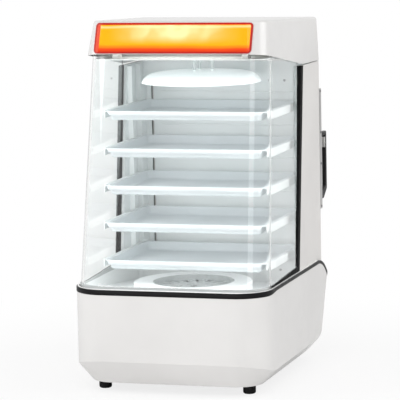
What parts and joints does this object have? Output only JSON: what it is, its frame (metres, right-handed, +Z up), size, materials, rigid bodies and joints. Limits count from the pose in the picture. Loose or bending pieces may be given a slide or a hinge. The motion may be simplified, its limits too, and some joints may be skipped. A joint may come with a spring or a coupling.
{
  "type": "steamed bun steamer",
  "caption": "Counter-top food steamer with leaning wrap-round glass, shelf trays on side rails, lit sign hood, round steam outlet in the base and a hinged rear door.",
  "frame": {"origin": "on the counter, under the middle of the overall box", "axes": "+Z up, -Y towards the glass front, +Y towards the rear door, +X to the right seen from the front"},
  "size_m": [0.3816, 0.5132, 0.6888],
  "materials": {
    "white_paint": "gloss",
    "column_paint": "satin",
    "black_rubber": "satin",
    "black_plastic": "satin",
    "black_trim": "gloss",
    "steel": "brushed",
    "bright_steel": "polished",
    "liner_metal": "satin",
    "tray_metal": "gloss",
    "clear_glass": "clear",
    "sign_plastic": "gloss",
    "red_plastic": "gloss",
    "lamp_glass": "satin",
    "white_plastic": "gloss",
    "brass": "polished",
    "magnet_black": "matt",
    "amber_lens": "gloss"
  },
  "bodies": {
    "base": {"base_housing": "white_paint", "base_bottom_plate": "steel", "feet": "black_rubber", "rim_trim": "black_trim", "ledge_strip": "bright_steel", "chamber_pan": "white_paint", "boiler_vessel": "steel", "heater_element": "steel", "drain_pipe": "steel", "drain_cock": "brass", "glass_shroud": "clear_glass", "glass_seal": "black_rubber", "gasket_left": "black_rubber", "gasket_right": "black_rubber", "jamb_left": "column_paint", "jamb_right": "column_paint", "rear_sill": "column_paint", "rear_header": "column_paint", "hood_shell": "white_paint", "ceiling_panel": "liner_metal", "ceiling_dome": "white_plastic", "sign_panel": "sign_plastic", "sign_frame": "red_plastic", "sign_lamp": "lamp_glass", "lamp_holders": "white_plastic", "rack_left": "liner_metal", "rack_right": "liner_metal", "header_screws": "bright_steel", "pan_screws": "bright_steel", "hinge_fixed_leaves": "steel", "hinge_pins": "bright_steel", "catch_plate": "steel", "switch_bezel": "black_plastic", "pilot_lamp": "amber_lens", "cable_gland": "black_plastic"},
    "door": {"door_panel": "column_paint", "door_seal": "black_rubber", "door_liner": "liner_metal", "door_edge_strip": "steel", "strip_screws": "bright_steel", "door_handle": "black_plastic", "hinge_door_leaves": "steel", "door_magnet": "magnet_black"},
    "steam_outlet": {"steam_cover": "white_paint", "steam_diffuser": "steel"},
    "rocker": {"power_rocker": "black_plastic"},
    "dial": {"temperature_dial": "black_plastic"},
    "lever": {"drain_lever": "red_plastic"},
    "shelf_1": {"tray_1": "tray_metal"},
    "shelf_2": {"tray_2": "tray_metal"},
    "shelf_3": {"tray_3": "tray_metal"},
    "shelf_4": {"tray_4": "tray_metal"},
    "shelf_5": {"tray_5": "tray_metal"}
  },
  "joints": [
    {"name": "door_hinge", "type": "hinge", "parent": "base", "child": "door", "pos_m": [-0.1805, 0.20725, 0.205], "axis": [0, 0, 1], "range_deg": [0, 110]},
    {"name": "steam_cover_lift", "type": "slide", "parent": "base", "child": "steam_outlet", "axis": [0, 0, 1], "range_m": [0, 0.024]},
    {"name": "power_rocker_tilt", "type": "hinge", "parent": "base", "child": "rocker", "pos_m": [0.11, 0.22968, 0.1068], "axis": [1, 0, 0], "range_deg": [0, 16]},
    {"name": "temperature_dial_turn", "type": "hinge", "parent": "base", "child": "dial", "pos_m": [0.05, 0.23257, 0.106], "axis": [0, 0.9633, -0.2684], "range_deg": [0, 270]},
    {"name": "drain_lever_turn", "type": "hinge", "parent": "base", "child": "lever", "pos_m": [0, 0.23871, 0.085], "axis": [0, 0, 1], "range_deg": [0, 90]},
    {"name": "tray_1_slide", "type": "slide", "parent": "base", "child": "shelf_1", "axis": [0, 1, 0], "range_m": [0, 0.038]},
    {"name": "tray_2_slide", "type": "slide", "parent": "base", "child": "shelf_2", "axis": [0, 1, 0], "range_m": [0, 0.038]},
    {"name": "tray_3_slide", "type": "slide", "parent": "base", "child": "shelf_3", "axis": [0, 1, 0], "range_m": [0, 0.038]},
    {"name": "tray_4_slide", "type": "slide", "parent": "base", "child": "shelf_4", "axis": [0, 1, 0], "range_m": [0, 0.038]},
    {"name": "tray_5_slide", "type": "slide", "parent": "base", "child": "shelf_5", "axis": [0, 1, 0], "range_m": [0, 0.038]}
  ]
}
